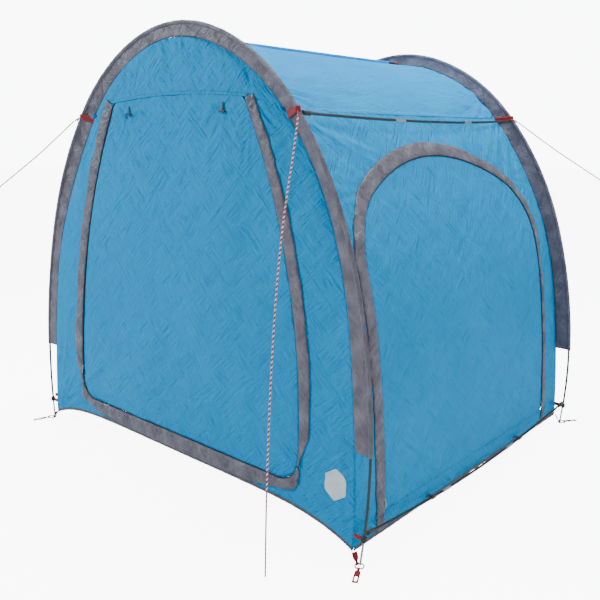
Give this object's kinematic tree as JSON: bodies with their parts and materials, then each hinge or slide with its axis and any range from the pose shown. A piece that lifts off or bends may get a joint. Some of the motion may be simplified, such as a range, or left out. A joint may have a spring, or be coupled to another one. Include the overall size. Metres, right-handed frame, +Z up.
{
  "type": "bicycle storage tent",
  "caption": "Freestanding fabric shelter for bicycles on two arch poles with spreader poles, a zipped front door, a zipped drop-down side door and guy lines.",
  "frame": {"origin": "on the ground, under the middle of the tent", "axes": "+Z up, front arch and front door towards -Y, side door towards +X"},
  "size_m": [2.0457, 2.196, 1.7865],
  "materials": {
    "wall_taffeta": "plain woven polyester, water-shedding, slight sheen",
    "roof_taffeta": "the same cloth, lighter where light shines through",
    "grey_trim": "plain woven grey polyester",
    "hem_binding": "dark grey binding tape",
    "zip_coil": "nylon coil on woven tape",
    "zip_metal": "black painted slider",
    "red_webbing": "woven polyester webbing",
    "pole": "black fibreglass",
    "ferrule": "drawn tube",
    "pin_steel": "zinc plated",
    "clip": "moulded",
    "guy_cord": "red and white braided cord",
    "toggle": "moulded",
    "patch": "plain white woven patch"
  },
  "bodies": {
    "frame_and_canopy": {"front_arch_pole": "pole", "rear_arch_pole": "pole", "eaves_pole_right": "pole", "eaves_pole_left": "pole", "base_pole_right": "pole", "base_pole_left": "pole", "ridge_pole": "pole", "arch_pole_ferrules": "ferrule", "spreader_pole_ferrules": "ferrule", "front_sleeve": "grey_trim", "rear_sleeve": "grey_trim", "front_trim_left": "grey_trim", "front_trim_right": "grey_trim", "front_trim_bottom": "grey_trim", "side_door_trim": "grey_trim", "base_pole_loops": "grey_trim", "roof": "roof_taffeta", "ridge_sleeve": "roof_taffeta", "left_wall": "wall_taffeta", "right_wall": "wall_taffeta", "front_wall": "wall_taffeta", "rear_wall": "wall_taffeta", "side_hems": "hem_binding", "front_hem": "hem_binding", "rear_hem": "hem_binding", "side_zip": "zip_coil", "front_zip_left": "zip_coil", "front_zip_right": "zip_coil", "blank_patch": "patch", "corner_pins": "pin_steel", "ground_rings": "pin_steel", "pole_clips": "clip", "clip_loops": "red_webbing", "corner_straps": "red_webbing", "pole_pockets": "red_webbing", "guy_loops": "red_webbing", "guy_line_front_right": "guy_cord", "guy_line_front_left": "guy_cord", "guy_line_rear_right": "guy_cord", "guy_end_loop_front_left": "guy_cord", "guy_end_loop_rear_right": "guy_cord"},
    "front_door": {"front_door": "wall_taffeta"},
    "side_door": {"side_door": "wall_taffeta"},
    "front_left_slider": {"front_left_slider": "zip_metal"},
    "front_left_pull": {"front_left_pull": "zip_metal"},
    "front_right_slider": {"front_right_slider": "zip_metal"},
    "front_right_pull": {"front_right_pull": "zip_metal"},
    "side_front_slider": {"side_front_slider": "zip_metal"},
    "side_front_pull": {"side_front_pull": "zip_metal"},
    "side_rear_slider": {"side_rear_slider": "zip_metal"},
    "side_rear_pull": {"side_rear_pull": "zip_metal"},
    "toggle_left": {"door_toggle_left": "toggle", "toggle_loop_left": "grey_trim"},
    "toggle_right": {"door_toggle_right": "toggle", "toggle_loop_right": "grey_trim"},
    "peg_loop_front_right": {"peg_loop_front_right": "red_webbing"},
    "peg_loop_front_left": {"peg_loop_front_left": "red_webbing"},
    "peg_loop_rear_right": {"peg_loop_rear_right": "red_webbing"},
    "peg_loop_rear_left": {"peg_loop_rear_left": "red_webbing"}
  },
  "joints": [
    {"name": "front_door_lift", "type": "hinge", "parent": "frame_and_canopy", "child": "front_door", "pos_m": [0, -0.74867, 1.4958], "axis": [-1, 0, 0], "range_deg": [0, 100]},
    {"name": "side_door_drop", "type": "hinge", "parent": "frame_and_canopy", "child": "side_door", "pos_m": [0.92487, 0, 0.113], "axis": [0, 1, 0], "range_deg": [0, 90]},
    {"name": "front_left_zip_travel", "type": "hinge", "parent": "frame_and_canopy", "child": "front_left_slider", "pos_m": [1.826, -0.79519, 0.33273], "axis": [0, 0.9992, -0.04], "range_deg": [0, 25.5]},
    {"name": "front_right_zip_travel", "type": "slide", "parent": "frame_and_canopy", "child": "front_right_slider", "axis": [1, 0, 0], "range_m": [0, 1.03]},
    {"name": "side_front_zip_travel", "type": "hinge", "parent": "frame_and_canopy", "child": "side_front_slider", "pos_m": [-3.9916, 0, 0.04089], "axis": [0, -1, 0], "range_deg": [0, 6.2]},
    {"name": "side_rear_zip_travel", "type": "hinge", "parent": "frame_and_canopy", "child": "side_rear_slider", "pos_m": [-3.9916, 0, 0.04089], "axis": [0, -1, 0], "range_deg": [0, 6.2]},
    {"name": "front_left_pull_swing", "type": "hinge", "parent": "front_left_slider", "child": "front_left_pull", "pos_m": [-0.67668, -0.80322, 0.32205], "axis": [-1, -0.0002, -0.0044], "range_deg": [0, 150]},
    {"name": "front_right_pull_swing", "type": "hinge", "parent": "front_right_slider", "child": "front_right_pull", "pos_m": [-0.48, -0.80862, 0.18715], "axis": [0, 0.04, 0.9992], "range_deg": [0, 150]},
    {"name": "side_front_pull_swing", "type": "hinge", "parent": "side_front_slider", "child": "side_front_pull", "pos_m": [0.93078, -0.635, 0.15017], "axis": [0, -1, 0], "range_deg": [0, 150]},
    {"name": "side_rear_pull_swing", "type": "hinge", "parent": "side_rear_slider", "child": "side_rear_pull", "pos_m": [0.93078, 0.635, 0.15017], "axis": [0, -1, 0], "range_deg": [0, 150]},
    {"name": "toggle_left_swing", "type": "hinge", "parent": "front_door", "child": "toggle_left", "pos_m": [-0.278, -0.75091, 1.48989], "axis": [-1, 0, 0], "range_deg": [0, 70]},
    {"name": "toggle_right_swing", "type": "hinge", "parent": "front_door", "child": "toggle_right", "pos_m": [0.278, -0.75091, 1.48989], "axis": [-1, 0, 0], "range_deg": [0, 70]},
    {"name": "peg_loop_front_right_lift", "type": "hinge", "parent": "frame_and_canopy", "child": "peg_loop_front_right", "pos_m": [0.96947, -0.83498, 0.0074], "axis": [-0.8924, -0.4512, 0], "range_deg": [0, 95]},
    {"name": "peg_loop_front_left_lift", "type": "hinge", "parent": "frame_and_canopy", "child": "peg_loop_front_left", "pos_m": [-0.96947, -0.83498, 0.0074], "axis": [-0.8924, 0.4512, 0], "range_deg": [0, 95]},
    {"name": "peg_loop_rear_right_lift", "type": "hinge", "parent": "frame_and_canopy", "child": "peg_loop_rear_right", "pos_m": [0.96947, 0.83498, 0.0074], "axis": [0.8924, -0.4512, 0], "range_deg": [0, 95]},
    {"name": "peg_loop_rear_left_lift", "type": "hinge", "parent": "frame_and_canopy", "child": "peg_loop_rear_left", "pos_m": [-0.96947, 0.83498, 0.0074], "axis": [0.8924, 0.4512, 0], "range_deg": [0, 95]}
  ]
}
